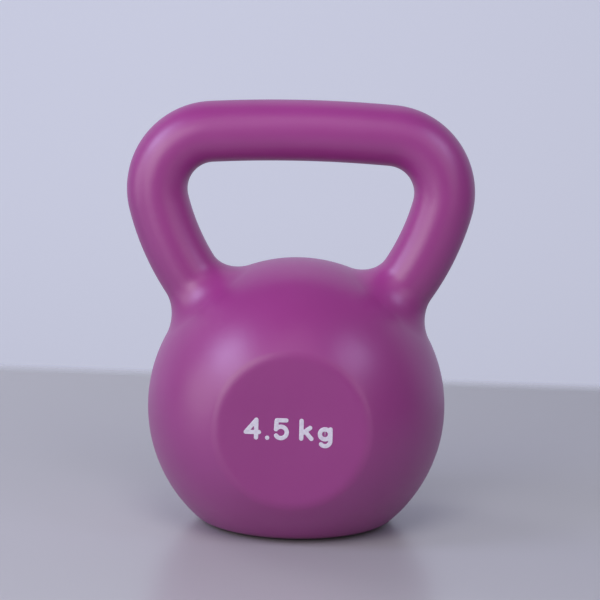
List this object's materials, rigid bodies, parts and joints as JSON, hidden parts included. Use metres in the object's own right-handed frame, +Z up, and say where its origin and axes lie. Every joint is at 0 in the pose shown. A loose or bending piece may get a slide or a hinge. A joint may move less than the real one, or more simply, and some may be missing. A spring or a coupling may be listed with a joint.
{
  "type": "kettlebell",
  "caption": "Light kettlebell: vinyl-dipped round ball with two flat faces, a wide looped bar handle and a flat base with a rubber ring.",
  "frame": {"origin": "on the floor under the middle of the ball, at the base pad's underside", "axes": "+Z up towards the handle, X along the handle's bar, -Y out of the face with the weight mark"},
  "size_m": [0.1738, 0.1303, 0.2136],
  "materials": {
    "vinyl": "satin soft-touch plastisol, magenta",
    "concrete": "rough cast concrete",
    "rod_steel": "hot-rolled bar, dull grey",
    "insert_steel": "zinc-plated steel",
    "rubber": "matt black rubber",
    "ink": "satin off-white pad-printing ink"
  },
  "bodies": {
    "root": {"vinyl_skin": "vinyl", "ballast_casting": "concrete", "handle_rod": "rod_steel", "tie_bar_lower": "rod_steel", "tie_bar_upper": "rod_steel", "hanger_insert": "insert_steel", "base_plug": "rubber", "base_pad": "rubber", "mark_digit_4": "ink", "mark_point": "ink", "mark_digit_5": "ink", "mark_letter_k": "ink", "mark_letter_g": "ink"}
  },
  "joints": []
}
